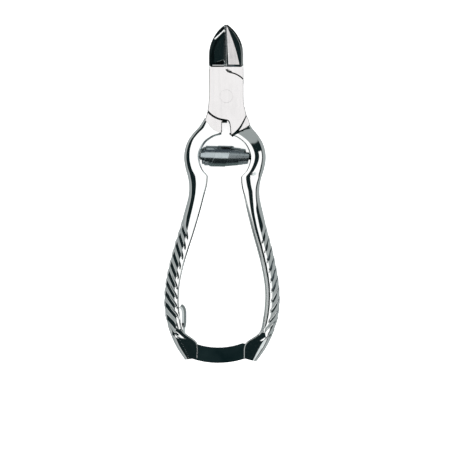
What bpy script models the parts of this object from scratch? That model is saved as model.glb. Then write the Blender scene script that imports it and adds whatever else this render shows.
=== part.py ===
"""Heavy toenail nipper with a barrel spring and a catch that locks the handle ends.

The nipper lies on its back. The joint's axis is Z, the jaws point along +Y and the
handles along -Y. The origin is on the joint's axis, in the plane the nipper lies on.
It is modelled as it is stored: jaws shut, spring squeezed, catch bar across.

Two forged levers cross in a lap joint. The front lever is the left jaw, the upper half
of the joint and the right handle. The rear lever is its opposite. The handles are
designed as a mirrored pair, and the pair then leans a little about the joint.
"""

import math

import bmesh
import bpy
from mathutils import Matrix, Vector

MM = 0.001

# Joint and jaws
THICKNESS = 9.0 * MM
MIDDLE = THICKNESS / 2
GAP = 0.3 * MM
PLATE_RADIUS = 9.9 * MM
RECESS_RADIUS = 10.3 * MM
HEAD_HALF_WIDTH = 7.2 * MM
JAW_TIP_Y = 30.0 * MM
JAW_ARCH_Y = 17.0 * MM
JAW_ARCH_RADIUS = 16.07 * MM
POCKET_Y = 12.8 * MM
POCKET_RIM = 0.55 * MM
POCKET_CORNER = 1.4 * MM
POCKET_FLOOR_Z = 5.1 * MM
POCKET_RISE_OUTWARDS = 0.455
POCKET_FALL_TO_TIP = 0.035
POCKET_OVERLAP = 0.6 * MM
POCKET_EDGE_X = 0.1 * MM
JAW_TIP_FRONT_Z = 6.6 * MM
JAW_TIP_BACK_Z = 2.0 * MM
TAPER_OVERRUN = 2 * MM
CUT_MARGIN = 1 * MM
PIN_RADIUS = 2.7 * MM
RUNNING_GAP = 0.08 * MM
ROUND_SEGMENTS = 32

# Neck between the handles, under the joint
NECK_HALF_GAP = 1.65 * MM
STOP_Y = -10.7 * MM
STOP_END_X = 0.4 * MM
FRONT_SHOULDER_DROP = 0.5 * MM

# Handles, as the right one stands before the pair leans
HANDLE_LEAN = math.radians(1.2)
BAY_CENTRE_Y = -25.6 * MM
BAY_HALF_WIDTH = 10.6 * MM
BAY_HALF_HEIGHT = 10.0 * MM
BAY_ANGLES = (9.0, 26.0, 50.0, 75.0, 95.0, 120.0, 139.5)
NECK_END_STATION = 1
CUSP_STATION = 7
# Outer edge, in millimetres, at each station down the handle.
HANDLE_OUTER = (
    (8.9, -9.2), (11.0, -12.7), (13.6, -15.7), (15.7, -19.0), (16.8, -22.5),
    (17.05, -26.0), (16.4, -30.0), (15.4, -33.4), (14.75, -37.0), (14.85, -41.5),
    (16.1, -47.0), (18.2, -54.8), (20.4, -62.3), (22.3, -70.0), (23.7, -77.5),
    (24.2, -85.0), (23.5, -92.0), (21.5, -98.6), (18.6, -104.7), (15.0, -110.0),
)  # fmt: skip
# Inner edge below the cusp, at the stations that follow it.
GRIP_INNER = (
    (7.2, -36.9), (8.3, -41.5), (9.9, -48.2), (12.1, -56.3), (14.3, -63.6),
    (16.3, -70.8), (17.75, -78.4), (18.05, -85.0), (17.5, -91.4), (16.4, -97.6),
    (14.7, -103.6), (12.4, -110.4),
)  # fmt: skip
NECK_DEPTH = 8.8 * MM
WAIST_DEPTH = 8.4 * MM
GRIP_DEPTH = 9.0 * MM
END_DEPTH = 8.0 * MM
BAY_FLAT_SHARE = 0.72
GRIP_FLAT_SHARE = 0.45
INNER_EDGE = 0.8 * MM
SECTION_ARC_STEPS = 8
BAY_STEP = 2.0 * MM
GRIP_STEP = 1.05 * MM

# Slanting grip grooves on the handle's outer round
GROOVE_COUNT = 11
GROOVE_PITCH = 4.2 * MM
GROOVE_FIRST_Y = -50.5 * MM
GROOVE_SLANT = 6.0 * MM
GROOVE_DEPTH = 0.55 * MM

# Forked handle ends
FORK_DEPTH = 7.4 * MM
FORK_SLOT = 2.3 * MM
FORK_OUTLINE = (
    (17.2, -96.5), (18.2, -103.5), (14.3, -110.2), (12.8, -110.6), (10.9, -110.1),
    (9.4, -108.7), (8.7, -106.6), (9.2, -104.4), (10.5, -102.6), (12.9, -101.4),
    (15.2, -99.9), (16.2, -98.0),
)  # fmt: skip
# Saw cuts of the two forks. The catch's is open at its end, so that the bar can swing down.
CATCH_SLOT = (
    (4.0, -95.2), (17.75, -95.2), (17.6, -99.5), (16.9, -103.6), (17.6, -106.0),
    (21.0, -112.0), (4.0, -112.0),
)  # fmt: skip
KEEPER_SLOT = ((4.0, -98.5), (15.6, -98.5), (15.6, -106.4), (13.0, -112.0), (4.0, -112.0))

# Catch
BAR_THICKNESS = 1.6 * MM
BAR_WIDTH = 6.4 * MM
BAR_ARC_CENTRE = Vector((-1.7 * MM, -75.9 * MM))
BAR_ARC_RADIUS = 32.0 * MM
CATCH_PIVOT_X = -12.9 * MM
BAR_END_X = 14.9 * MM
RIVET_RADIUS = 1.2 * MM
KEEPER = Vector((12.4 * MM, -103.6 * MM))
KEEPER_RADIUS = 0.9 * MM
HOOK_NOTCH_DEPTH = 1.3 * MM
HOOK_NOTCH_HALF = 1.4 * MM
HOOK_NOTCH_CORNER = 0.5 * MM
HOOK_LIP_CHAMFER = 0.4 * MM
HOOK_BACK = 1.6 * MM
HOOK_END_Y = -106.2 * MM
HEEL_TO_ARC = 1.5 * MM
LEAF_THICKNESS = 0.9 * MM
LEAF_DEPTH = 4.6 * MM
LEAF_CROWN = 1.0 * MM
TANG = ((-13.0, -100.3), (-14.5, -100.5))
TANG_ROOT_ANGLES = (84, 111)
LEAF_RIVET_RADIUS = 0.4 * MM
LEAF_RIVET_Y = -101.4 * MM
LEAF_RIVET_ENDS = (-15.7 * MM, -12.8 * MM)
# The leaf's line from its foot on the tang to its curled tip, in millimetres.
LEAF_LINE = (
    (-14.9, -102.4), (-15.3, -100.3), (-15.5, -98.2), (-15.6, -95.6),
    (-15.6, -92.6), (-15.7, -90.0), (-16.2, -88.4), (-17.2, -87.6),
)  # fmt: skip
LEAF_FOOT_STATIONS = 2.4

# Barrel spring and its pegs, about an axis along X in the leaning frame
SPRING_Y = -24.8 * MM
SPRING_RADIUS = 4.45 * MM
SPRING_STRIP = 0.7 * MM
SPRING_WIDTH = 6.2 * MM
SPRING_TAPER = 0.95 * MM
SPRING_CROWN = 0.15 * MM
SPRING_LEFT_TURNS = 1.6
SPRING_RIGHT_TURNS = 2.0
SPRING_MIDDLE_X = -1.4 * MM
SPRING_MIDDLE_PITCH = 6.7 * MM
SPRING_LEFT_PITCH = 2.1 * MM
SPRING_RIGHT_PITCH = 3.3 * MM
SPRING_STEPS_PER_TURN = 16
PEG_RADIUS = 1.3 * MM
PEG_BORE_DEPTH = 2.6 * MM
PEG_LENGTH = 5.2 * MM


def clear_scene():
    for old in list(bpy.data.objects):
        bpy.data.objects.remove(old, do_unlink=True)


def steel(name, colour, roughness):
    """A bare or plated steel surface."""
    material = bpy.data.materials.new(name)
    material.use_nodes = True
    shader = material.node_tree.nodes["Principled BSDF"]
    shader.inputs["Base Color"].default_value = (*colour, 1.0)
    shader.inputs["Metallic"].default_value = 1.0
    shader.inputs["Roughness"].default_value = roughness
    material.diffuse_color = (*colour, 1.0)
    return material


def add_object(name, mesh, material=None, round_piece=False):
    """Links a mesh at the origin. With no material it is a helper that isn't rendered."""
    new = bpy.data.objects.new(name, mesh)
    bpy.context.scene.collection.objects.link(new)
    if material is None:
        new.hide_render = True
        new.display_type = "WIRE"
    else:
        mesh.materials.append(material)
    if round_piece:
        mesh.shade_smooth()
        mesh.set_sharp_from_angle(angle=math.radians(35))
    return new


def add_axis(name, place):
    """An empty that marks a hinge's axis."""
    axis = bpy.data.objects.new(name, None)
    axis.empty_display_size = 5 * MM
    axis.location = place
    bpy.context.scene.collection.objects.link(axis)
    return axis


def hang_on(piece, axis):
    """Gives the piece its hinge's axis as origin and parent, without moving it."""
    piece.data.transform(Matrix.Translation(-axis.location))
    piece.parent = axis


def boolean(target, tool, operation):
    """Adds an exact boolean with the tool to the target."""
    step = target.modifiers.new(f"{operation.lower()} {tool.name}", "BOOLEAN")
    step.operation = operation
    step.object = tool
    step.solver = "EXACT"


def skin(rings):
    """A closed mesh over a row of rings that all have the same number of points."""
    build = bmesh.new()
    rows = [[build.verts.new(point) for point in ring] for ring in rings]
    count = len(rows[0])
    for row, following in zip(rows, rows[1:]):
        for i in range(count):
            j = (i + 1) % count
            build.faces.new((row[i], row[j], following[j], following[i]))
    build.faces.new(reversed(rows[0]))
    build.faces.new(rows[-1])
    bmesh.ops.recalc_face_normals(build, faces=build.faces)
    mesh = bpy.data.meshes.new("skin")
    build.to_mesh(mesh)
    build.free()
    return mesh


def prism(outline, low, high):
    """The outline, a loop of (x, y), extruded from low to high along Z."""
    return skin([[(x, y, z) for x, y in outline] for z in (low, high)])


def circle(centre, radius, segments=ROUND_SEGMENTS):
    turn = 2 * math.pi / segments
    return [
        (centre[0] + radius * math.cos(i * turn), centre[1] + radius * math.sin(i * turn))
        for i in range(segments)
    ]


def arc(centre, radius, start, end, steps):
    """Points from the start angle to the end angle, in degrees."""
    angles = [math.radians(start + (end - start) * i / steps) for i in range(steps + 1)]
    return [(centre[0] + radius * math.cos(a), centre[1] + radius * math.sin(a)) for a in angles]


def scaled(points):
    return [Vector(point) * MM for point in points]


def catmull(before, start, end, after, t):
    """A point at t of the way from start to end, on a curve through all four points."""
    return 0.5 * (
        2 * start
        + (end - before) * t
        + (2 * before - 5 * start + 4 * end - after) * t**2
        + (3 * start - before - 3 * end + after) * t**3
    )


def curve_through(points, position):
    """The smooth curve's point at a position counted in stations."""
    last = len(points) - 1
    start = min(int(position), last - 1)
    before = points[start - 1] if start > 0 else 2 * points[0] - points[1]
    after = points[start + 2] if start + 2 <= last else 2 * points[last] - points[last - 1]
    return catmull(before, points[start], points[start + 1], after, position - start)


def lean(x, y):
    """Turns a point of the handle pair clockwise about the joint."""
    cos, sin = math.cos(HANDLE_LEAN), math.sin(HANDLE_LEAN)
    return x * cos + y * sin, y * cos - x * sin


def lean_all(points, side=1):
    return [lean(side * x, y) for x, y in points]


def ramp(value, start, end):
    """0 before start, 1 after end, smooth between."""
    t = min(max((value - start) / (end - start), 0.0), 1.0)
    return t * t * (3 - 2 * t)


def handle_inner():
    """The inner edge's three stretches: the neck, the spring bay and the grip."""
    bay = []
    for degrees in BAY_ANGLES:
        a = math.radians(degrees)
        x = BAY_HALF_WIDTH * math.sin(a)
        bay.append(Vector((x, BAY_CENTRE_Y + BAY_HALF_HEIGHT * math.cos(a))))
    neck = [Vector((NECK_HALF_GAP, -11.0 * MM)), bay[0]]
    return neck, bay, [bay[-1], *scaled(GRIP_INNER)]


def handle_station(position):
    """(outer, inner) points at a position counted in stations down the handle."""
    neck, bay, grip = handle_inner()
    outer = curve_through(scaled(HANDLE_OUTER), position)
    if position <= NECK_END_STATION:
        return outer, curve_through(neck, position)
    if position <= CUSP_STATION:
        return outer, curve_through(bay, position - NECK_END_STATION)
    return outer, curve_through(grip, position - CUSP_STATION)


def handle_positions(fine=20):
    """Station positions spaced evenly along the handle, with the distance down it to each."""
    last = len(HANDLE_OUTER) - 1
    chosen = [(0.0, 0.0)]
    centre = sum(handle_station(0.0), Vector((0.0, 0.0))) / 2
    travelled = since = 0.0
    for i in range(1, last * fine + 1):
        position = i / fine
        outer, inner = handle_station(position)
        new_centre = (outer + inner) / 2
        travelled += (new_centre - centre).length
        since += (new_centre - centre).length
        centre = new_centre
        step = BAY_STEP if position < CUSP_STATION + 3 else GRIP_STEP
        corner = position in (NECK_END_STATION, CUSP_STATION, last)
        if corner or since >= step:
            if corner and since < 0.4 * step:
                chosen.pop()
            chosen.append((position, travelled))
            since = 0.0
    return chosen


def groove(distance, share):
    """Depth cut into the outer round. share is 0 on the silhouette and 1 at the flat face."""
    turns = (distance - GROOVE_SLANT * share) / GROOVE_PITCH
    if not 0 <= turns <= GROOVE_COUNT:
        return 0.0
    wave = 0.5 - 0.5 * math.cos(2 * math.pi * turns)
    return GROOVE_DEPTH * wave * (0.3 + 0.7 * share)


def handle_section(position, along, side, front_drop):
    """A D-shaped section: flat faces front and back, round on the outside."""
    outer, inner = handle_station(position)
    across = outer - inner
    width = across.length
    grip = ramp(position, CUSP_STATION + 1.5, CUSP_STATION + 4)
    depth = NECK_DEPTH + (WAIST_DEPTH - NECK_DEPTH) * ramp(position, 2, CUSP_STATION)
    depth += (GRIP_DEPTH - depth) * grip
    depth += (END_DEPTH - depth) * ramp(position, 16.5, 19)
    flat = width * (BAY_FLAT_SHARE + (GRIP_FLAT_SHARE - BAY_FLAT_SHARE) * grip)
    half = depth / 2
    profile = [
        (0.0, INNER_EDGE - half),
        (0.0, half - INNER_EDGE),
        (INNER_EDGE, half),
        (flat, half),
    ]
    for i in range(1, SECTION_ARC_STEPS):
        angle = math.pi / 2 - math.pi * i / SECTION_ARC_STEPS
        share = abs(angle) / (math.pi / 2)
        cut = 1 - groove(along, share) / half
        profile.append((flat + (width - flat) * math.cos(angle) * cut, half * math.sin(angle) * cut))
    profile += [(flat, -half), (INNER_EDGE, -half)]
    drop = front_drop * (1 - ramp(position, 1.5, 4))
    ring = []
    for u, v in profile:
        x, y = inner + across * (u / width)
        ring.append((*lean(side * x, y), MIDDLE + min(v, half - drop)))
    return ring


def handle_mesh(side, front_drop):
    positions = handle_positions()
    start = next(s for p, s in positions if handle_station(p)[0].y < GROOVE_FIRST_Y)
    return skin([handle_section(p, s - start, side, front_drop) for p, s in positions])


def jaw_edge(side, inset=0.0, steps=10):
    """A jaw's outer edge, from its tip down to where the sides run straight."""
    centre_x = HEAD_HALF_WIDTH - JAW_ARCH_RADIUS
    radius = JAW_ARCH_RADIUS - inset
    top = math.degrees(math.asin(min((JAW_TIP_Y - JAW_ARCH_Y) / radius, 0.83)))
    points = arc((centre_x, JAW_ARCH_Y), radius, top, 0, steps)
    return [(side * x, y) for x, y in points]


def front_head_outline():
    """Left jaw and front joint plate, ending in the point over the right neck."""
    slit = -GAP / 2
    return [
        (slit, JAW_TIP_Y),
        *jaw_edge(-1),
        (-HEAD_HALF_WIDTH, -1.6 * MM),
        *arc((0, 0), PLATE_RADIUS, 218, 266, 8),
        (0.8 * MM, -10.3 * MM),
        (1.45 * MM, -11.3 * MM),
        (NECK_HALF_GAP, -12.6 * MM),
        (1.9 * MM, -16.3 * MM),
        (2.5 * MM, -16.1 * MM),
        (5.6 * MM, -13.1 * MM),
        (8.45 * MM, -8.0 * MM),
        (7.5 * MM, -4.4 * MM),
        (HEAD_HALF_WIDTH, -1.6 * MM),
        *arc((0, 0), PLATE_RADIUS, 43, 90.87, 8),
    ]


def rear_head_outline():
    """Right jaw, rear joint plate and the left handle's shoulder."""
    slit = GAP / 2
    return [
        *reversed(jaw_edge(1)),
        (slit, JAW_TIP_Y),
        *arc((0, 0), PLATE_RADIUS, 89.13, 137, 8),
        (-HEAD_HALF_WIDTH, -1.6 * MM),
        (-7.7 * MM, -6.2 * MM),
        (-8.9 * MM, -9.2 * MM),
        (-9.7 * MM, -10.6 * MM),
        (-7.6 * MM, -12.2 * MM),
        (-3.6 * MM, -15.0 * MM),
        (-NECK_HALF_GAP - 0.3 * MM, -15.4 * MM),
        (-NECK_HALF_GAP - 0.1 * MM, STOP_Y),
        (STOP_END_X, STOP_Y),
        *arc((0, 0), PLATE_RADIUS, 272.5, 319, 8),
        (HEAD_HALF_WIDTH, -1.6 * MM),
    ]


def jaw_pocket(side):
    """Hollow-ground front of a jaw: deep at the cutting edge, shallow at the rim."""
    top = THICKNESS + CUT_MARGIN
    rim_x = HEAD_HALF_WIDTH - POCKET_RIM
    edge = jaw_edge(side, POCKET_RIM)
    corner_x, corner_y = rim_x - POCKET_CORNER, POCKET_Y + POCKET_CORNER
    corner = arc((corner_x, corner_y), POCKET_CORNER, 0, -90, 4)
    over = -side * POCKET_OVERLAP
    outline = [
        (over, JAW_TIP_Y + CUT_MARGIN),
        (side * POCKET_EDGE_X, JAW_TIP_Y + CUT_MARGIN),
        *edge,
        *[(side * x, y) for x, y in corner],
        (over, POCKET_Y),
    ]
    floor = []
    for x, y in outline:
        rise = POCKET_RISE_OUTWARDS * max(side * x, -POCKET_OVERLAP)
        floor.append((x, y, POCKET_FLOOR_Z + rise - POCKET_FALL_TO_TIP * (y - POCKET_Y)))
    return skin([floor, [(x, y, top) for x, y in outline]])


def nose_wedge(start_z, end_z, beyond):
    """Tapers the jaws' thickness towards the tip, on the side that `beyond` lies on."""
    reach = JAW_TIP_Y + TAPER_OVERRUN
    end_z += (end_z - start_z) * TAPER_OVERRUN / (JAW_TIP_Y - POCKET_Y)
    profile = [(POCKET_Y, start_z), (reach, end_z), (reach, beyond), (POCKET_Y, beyond)]
    return skin([[(x, y, z) for y, z in profile] for x in (-10 * MM, 10 * MM)])


def fork_slot(side):
    """The saw cut of a handle's forked end, open towards the other handle and below."""
    points = lean_all(scaled(CATCH_SLOT if side < 0 else KEEPER_SLOT), side)
    return prism(points, MIDDLE - FORK_SLOT / 2, MIDDLE + FORK_SLOT / 2)


def on_bar(x, offset):
    """A point of the catch bar, `offset` outwards from its middle line, at that line's x."""
    centre = BAR_ARC_CENTRE
    drop = math.sqrt(BAR_ARC_RADIUS**2 - (x - centre.x) ** 2)
    radial = Vector((x - centre.x, -drop)) / BAR_ARC_RADIUS
    return centre + radial * (BAR_ARC_RADIUS + offset)


def catch_pivot():
    return on_bar(CATCH_PIVOT_X, 0.0)


def lever(name, side, outline, recess, drop, material):
    """One forging: handle, fork and head joined, then cut for its neighbours."""
    piece = add_object(name, handle_mesh(-side, drop), material, round_piece=True)
    head = add_object(f"{name}_head", prism(outline, 0.0, THICKNESS))
    boolean(piece, head, "UNION")
    half = FORK_DEPTH / 2
    fork = prism(lean_all(scaled(FORK_OUTLINE), -side), MIDDLE - half, MIDDLE + half)
    boolean(piece, add_object(f"{name}_fork", fork), "UNION")
    low, high = recess
    cuts = {
        "recess": prism(circle((0, 0), RECESS_RADIUS, 64), low, high),
        "pocket": jaw_pocket(side),
        "front_taper": nose_wedge(THICKNESS + 0.05 * MM, JAW_TIP_FRONT_Z, THICKNESS + 3 * MM),
        "back_taper": nose_wedge(-0.05 * MM, JAW_TIP_BACK_Z, -3 * MM),
        "pin_hole": prism(circle((0, 0), PIN_RADIUS + RUNNING_GAP), -CUT_MARGIN, THICKNESS + CUT_MARGIN),
        "slot": fork_slot(-side),
        "cross_hole": prism(
            circle(cross_pin_place(-side), cross_pin_radius(-side) + RUNNING_GAP),
            -CUT_MARGIN,
            THICKNESS + CUT_MARGIN,
        ),
        "peg_bore": peg_mesh(-side, PEG_RADIUS + RUNNING_GAP, PEG_BORE_DEPTH + GAP),
    }
    for title, mesh in cuts.items():
        boolean(piece, add_object(f"{name}_{title}", mesh), "DIFFERENCE")
    return piece


def cross_pin_place(side):
    return lean(*(KEEPER if side > 0 else catch_pivot()))


def cross_pin_radius(side):
    return KEEPER_RADIUS if side > 0 else RIVET_RADIUS


def turned_x(stations, segments=ROUND_SEGMENTS):
    """A turned piece about the spring's axis, from (x, radius) stations."""
    rings = []
    for x, radius in stations:
        around = circle((SPRING_Y, MIDDLE), radius, segments)
        rings.append([(*lean(x, y), z) for y, z in around])
    return skin(rings)


def peg_mesh(side, radius, bore_depth, length=PEG_LENGTH, chamfer=0.0):
    """A stud that stands in a handle's bore and points along the spring's axis."""
    root = BAY_HALF_WIDTH + bore_depth
    tip = root - length
    stations = [(root, radius), (tip + chamfer, radius), (tip, radius - chamfer)]
    if not chamfer:
        stations.pop()
    return turned_x([(side * x, r) for x, r in stations])


def spring_mesh():
    """A flat strip wound as two cones that meet at their wide ends."""
    first = -SPRING_LEFT_TURNS
    total = SPRING_LEFT_TURNS + SPRING_RIGHT_TURNS
    steps = round(total * SPRING_STEPS_PER_TURN)
    rings = []
    for i in range(steps + 1):
        turn = first + total * i / steps
        outer = SPRING_RADIUS - SPRING_TAPER * max(abs(turn) - 0.5, 0.0)
        outer -= SPRING_CROWN * min(abs(turn), 0.5)
        inner = outer - SPRING_STRIP
        pitch = SPRING_LEFT_PITCH if turn < 0 else SPRING_RIGHT_PITCH
        centre = SPRING_MIDDLE_PITCH * min(abs(turn), 0.5) + pitch * max(abs(turn) - 0.5, 0.0)
        centre = SPRING_MIDDLE_X + math.copysign(centre, turn)
        angle = 2 * math.pi * turn
        ring = []
        for x, radius in (
            (centre - SPRING_WIDTH / 2, outer),
            (centre + SPRING_WIDTH / 2, outer),
            (centre + SPRING_WIDTH / 2, inner),
            (centre - SPRING_WIDTH / 2, inner),
        ):
            y = SPRING_Y + radius * math.sin(angle)
            ring.append((*lean(x, y), MIDDLE + radius * math.cos(angle)))
        rings.append(ring)
    return skin(rings)


def bar_outline():
    """Round heel about the rivet, curved bar, and a hook whose notch opens upwards."""
    half = BAR_WIDTH / 2
    pivot = catch_pivot()
    start, end = TANG_ROOT_ANGLES
    towards_arc = BAR_ARC_CENTRE - pivot
    top = math.degrees(math.atan2(towards_arc.y, towards_arc.x))
    heel = [*arc(pivot, half, top, start, 2), *scaled(TANG), *arc(pivot, half, end, top + 180, 10)]
    steps = 10
    notch_left, notch_right = KEEPER.x - HOOK_NOTCH_HALF, KEEPER.x + HOOK_NOTCH_HALF
    lip_y = KEEPER.y - KEEPER_RADIUS - GAP
    start = CATCH_PIVOT_X + HEEL_TO_ARC
    span = BAR_END_X - HOOK_BACK - start
    under = [on_bar(start + span * i / steps, half) for i in range(steps + 1)]
    top_span = notch_left + HOOK_BACK - start
    over = [on_bar(start + top_span * i / steps, -half) for i in range(steps + 1)]
    over = [p for p in over if p.x < notch_left - GAP]
    floor_y = lip_y - HOOK_NOTCH_DEPTH
    corner = HOOK_NOTCH_CORNER
    hook = [
        Vector((BAR_END_X, HOOK_END_Y)),
        Vector((BAR_END_X, lip_y - HOOK_LIP_CHAMFER)),
        Vector((BAR_END_X - HOOK_LIP_CHAMFER, lip_y)),
        Vector((notch_right, lip_y)),
        Vector((notch_right, floor_y + corner)),
        Vector((notch_right - corner, floor_y)),
        Vector((notch_left + corner, floor_y)),
        Vector((notch_left, floor_y + corner)),
        Vector((notch_left, over[-1].y - corner)),
    ]
    return [*heel, *under, *hook, *reversed(over)]


def leaf_mesh():
    """A crowned spring strip, narrow at its foot and curled at its tip."""
    line = scaled(LEAF_LINE)
    last = len(line) - 1
    steps = 3 * last
    rings = []
    for i in range(steps + 1):
        position = last * i / steps
        here = curve_through(line, position)
        ahead = curve_through(line, min(position + 0.1, last))
        back = curve_through(line, max(position - 0.1, 0.0))
        along = (ahead - back).normalized()
        outwards = Vector((along.y, -along.x))
        wide = ramp(position, LEAF_FOOT_STATIONS, LEAF_FOOT_STATIONS + 0.8)
        depth = BAR_THICKNESS + (LEAF_DEPTH - BAR_THICKNESS) * wide
        ring = []
        for layer in (1, -1):
            for j in range(7):
                share = layer * (2 * j / 6 - 1)
                crown = LEAF_CROWN * wide * (1 - share**2)
                offset = crown + layer * LEAF_THICKNESS / 2 - LEAF_CROWN * wide * 0.5
                x, y = here + outwards * offset
                ring.append((*lean(x, y), MIDDLE + share * depth / 2))
        rings.append(ring)
    return skin(rings)


def leaf_rivet_mesh(radius, reach=0.0):
    """A small rivet through the catch bar's tang and the leaf's foot, along X."""
    rings = []
    for x in (LEAF_RIVET_ENDS[0] - reach, LEAF_RIVET_ENDS[1] + reach):
        around = circle((LEAF_RIVET_Y, MIDDLE), radius, 16)
        rings.append([(*lean(x, y), z) for y, z in around])
    return skin(rings)


def build():
    clear_scene()
    satin = steel("satin_plated_steel", (0.80, 0.80, 0.80), 0.22)
    polished = steel("polished_plated_steel", (0.72, 0.74, 0.74), 0.12)
    blackened = steel("blackened_steel", (0.05, 0.07, 0.07), 0.18)
    spring_steel = steel("dark_spring_steel", (0.32, 0.34, 0.35), 0.28)
    pin_steel = steel("pin_steel", (0.62, 0.63, 0.64), 0.25)

    joint_axis = add_axis("joint_axis", Vector((0, 0, 0)))
    pivot = Vector((*lean(*catch_pivot()), 0.0))
    catch_axis = add_axis("catch_axis", pivot)

    half = THICKNESS / 2
    lower_recess = (-CUT_MARGIN, half + GAP / 2)
    upper_recess = (half - GAP / 2, THICKNESS + CUT_MARGIN)
    outline = front_head_outline()
    front = lever("front_lever", -1, outline, lower_recess, FRONT_SHOULDER_DROP, satin)
    lever("rear_lever", 1, rear_head_outline(), upper_recess, 0.0, satin)
    hang_on(front, joint_axis)

    pin = prism(circle((0, 0), PIN_RADIUS), 0.0, THICKNESS)
    add_object("joint_pin", pin, pin_steel, round_piece=True)
    add_object("barrel_spring", spring_mesh(), spring_steel, round_piece=True)
    for name, side in (("left_spring_peg", -1), ("right_spring_peg", 1)):
        mesh = peg_mesh(side, PEG_RADIUS, PEG_BORE_DEPTH, chamfer=0.4 * MM)
        peg = add_object(name, mesh, pin_steel, round_piece=True)
        if side > 0:
            hang_on(peg, joint_axis)

    bar = prism(
        lean_all(bar_outline()), MIDDLE - BAR_THICKNESS / 2, MIDDLE + BAR_THICKNESS / 2
    )
    bar = add_object("catch_bar", bar, blackened)
    hole = prism(circle(pivot, RIVET_RADIUS + RUNNING_GAP), 0.0, THICKNESS)
    boolean(bar, add_object("catch_bar_hole", hole), "DIFFERENCE")
    leaf = add_object("catch_leaf", leaf_mesh(), polished, round_piece=True)
    rivet_hole = add_object("leaf_rivet_hole", leaf_rivet_mesh(LEAF_RIVET_RADIUS + RUNNING_GAP, MM))
    boolean(bar, rivet_hole, "DIFFERENCE")
    boolean(leaf, rivet_hole, "DIFFERENCE")
    leaf_rivet = leaf_rivet_mesh(LEAF_RIVET_RADIUS)
    leaf_rivet = add_object("leaf_rivet", leaf_rivet, pin_steel, round_piece=True)
    for piece in (bar, leaf, leaf_rivet):
        hang_on(piece, catch_axis)

    fork_low, fork_high = MIDDLE - FORK_DEPTH / 2, MIDDLE + FORK_DEPTH / 2
    rivet = prism(circle(pivot, RIVET_RADIUS), fork_low, fork_high)
    add_object("catch_rivet", rivet, pin_steel, round_piece=True)
    keeper = prism(circle(cross_pin_place(1), KEEPER_RADIUS), fork_low, fork_high)
    keeper = add_object("keeper_pin", keeper, pin_steel, round_piece=True)
    hang_on(keeper, joint_axis)


build()
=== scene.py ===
import math

import bmesh
import bpy
from mathutils import Matrix, Vector


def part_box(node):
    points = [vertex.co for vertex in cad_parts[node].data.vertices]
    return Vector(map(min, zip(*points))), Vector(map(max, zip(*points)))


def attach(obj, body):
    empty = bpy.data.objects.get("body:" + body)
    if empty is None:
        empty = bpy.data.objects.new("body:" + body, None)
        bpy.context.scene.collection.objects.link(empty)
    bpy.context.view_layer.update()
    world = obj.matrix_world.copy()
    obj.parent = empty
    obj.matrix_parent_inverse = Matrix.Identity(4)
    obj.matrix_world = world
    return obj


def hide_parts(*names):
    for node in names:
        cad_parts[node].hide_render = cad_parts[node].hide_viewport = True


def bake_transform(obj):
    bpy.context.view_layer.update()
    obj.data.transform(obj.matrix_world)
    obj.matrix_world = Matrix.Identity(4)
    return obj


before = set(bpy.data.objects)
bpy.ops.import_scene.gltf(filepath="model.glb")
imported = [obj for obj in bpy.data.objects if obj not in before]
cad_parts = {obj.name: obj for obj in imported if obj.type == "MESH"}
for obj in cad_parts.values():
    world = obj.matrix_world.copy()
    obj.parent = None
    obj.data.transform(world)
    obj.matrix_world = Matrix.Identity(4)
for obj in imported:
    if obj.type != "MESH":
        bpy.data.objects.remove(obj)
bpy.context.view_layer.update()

# Lengths are in millimetres, but for THICKNESS, MIDDLE and the stage, which are in metres.
MM = 0.001
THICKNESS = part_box("joint_pin")[1].z
MIDDLE = THICKNESS / 2
MID_Z = MIDDLE / MM
FACE_Z = 9.0
HEAD_HALF_WIDTH = 7.2
JAW_TIP_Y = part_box("front_lever")[1].y / MM
JAW_ARCH_Y = 17.0
JAW_ARCH_RADIUS = 16.07
POCKET_Y = 12.15
JAW_ROOT_Y = 11.55
SLIT = 0.03
PLATE_RADIUS = 9.75
UPPER_PLATE_RADIUS = 10.0
RECESS_RADIUS = 10.3
PIN_BORE_RADIUS = 2.74
MILLED_RADIUS = 15.4
FLARE_RADIUS = 15.95
NECK_HALF_GAP = 1.65
HANDLE_LEAN = math.radians(1.2)
BAY_CENTRE_Y = -25.6
BAY_HALF_WIDTH = 10.6
BAY_HALF_HEIGHT = 10.0
BAY_ANGLES = (9.0, 26.0, 50.0, 75.0, 95.0, 120.0, 139.5)
NECK_END_STATION = 1
CUSP_STATION = 7
HANDLE_OUTER = (
    (8.9, -9.2), (11.0, -12.7), (13.6, -15.7), (15.7, -19.0), (16.8, -22.5),
    (17.05, -26.0), (16.4, -30.0), (15.4, -33.4), (14.75, -37.0), (14.85, -41.5),
    (16.1, -47.0), (18.2, -54.8), (20.4, -62.3), (22.3, -70.0), (23.7, -77.5),
    (24.2, -85.0), (23.5, -92.0), (21.5, -98.6), (18.6, -104.7), (15.0, -110.0),
)
GRIP_INNER = (
    (7.2, -36.9), (8.3, -41.5), (9.9, -48.2), (12.1, -56.3), (14.3, -63.6),
    (16.3, -70.8), (17.75, -78.4), (18.05, -85.0), (17.5, -91.4), (15.9, -98.2),
    (10.2, -102.9), (9.6, -108.9),
)
GROOVE_COUNT = 11
GROOVE_PITCH = 4.28
GROOVE_SHEAR = 1.15
GROOVE_DEPTH = 0.62
SPRING_Y = -24.8
SAW_CUT = 2.3
CATCH_SLOT = (
    (4.0, -95.2), (17.75, -95.2), (17.6, -99.5), (16.9, -103.6), (17.6, -106.0),
    (21.0, -112.0), (4.0, -112.0),
)
KEEPER_SLOT = ((4.0, -98.5), (15.6, -98.5), (15.6, -106.4), (13.0, -112.0), (4.0, -112.0))


# ---------------------------------------------------------------- mesh helpers

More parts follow.
